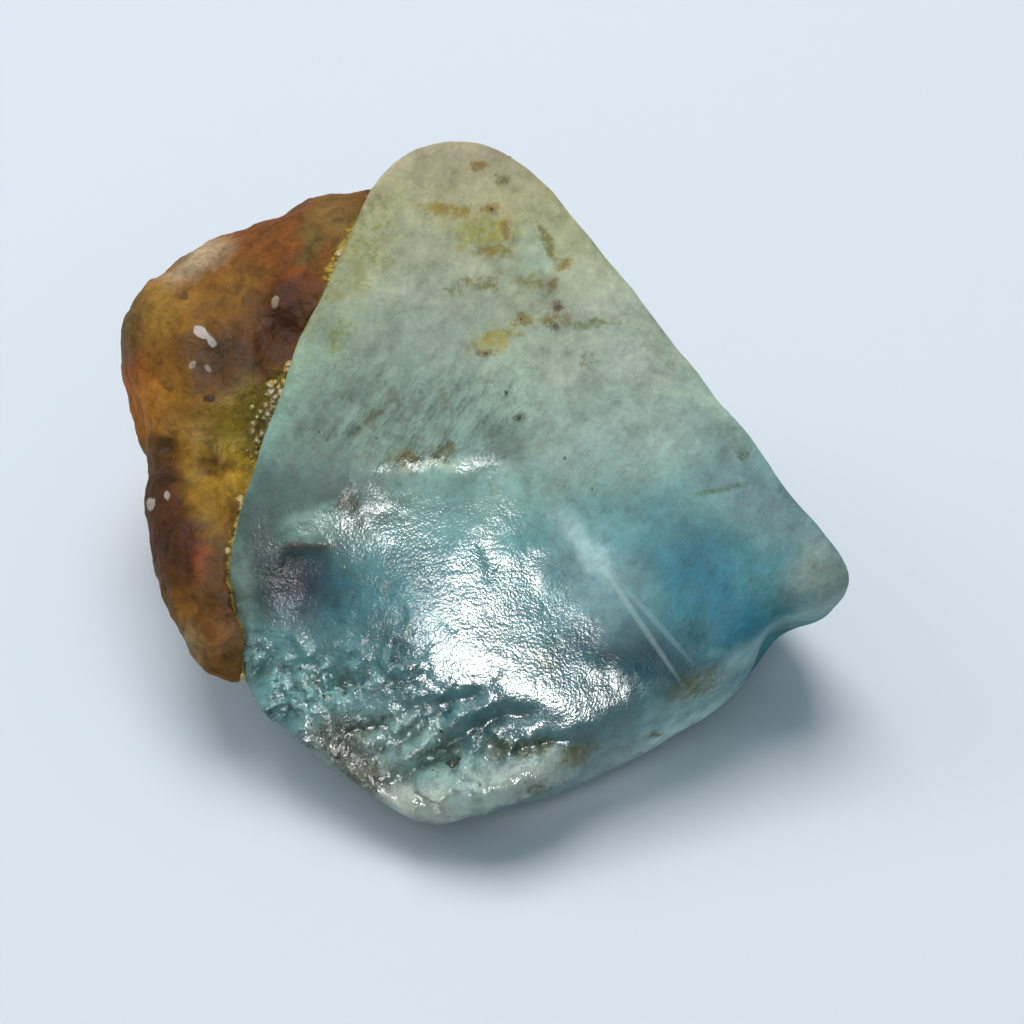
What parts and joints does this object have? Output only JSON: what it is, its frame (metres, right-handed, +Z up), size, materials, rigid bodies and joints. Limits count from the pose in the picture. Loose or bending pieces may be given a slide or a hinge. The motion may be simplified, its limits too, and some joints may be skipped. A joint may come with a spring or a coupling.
{
  "type": "fluorite crystal on matrix",
  "caption": "Hand specimen of rough, cleaved blue-green fluorite with a lump of brown iron-stained matrix rock grown along one side, resting on a flat underside.",
  "frame": {"origin": "middle of the specimen's outer box, on the surface that it rests on", "axes": "+Z up, away from the flat underside; +X to the crystal's long pointed corner, away from the matrix; -Y the way the broad front face looks"},
  "size_m": [0.0364, 0.0318, 0.0232],
  "materials": {
    "fluorite": "cloudy translucent blue-green crystal, satin frosted above, glossy and rippled below, with yellow and brown stains",
    "matrix": "smooth waxy brown rock mottled with ochre, orange and dark red-brown"
  },
  "bodies": {
    "root": {"fluorite_crystal": "fluorite", "matrix_rock": "matrix"}
  },
  "joints": []
}
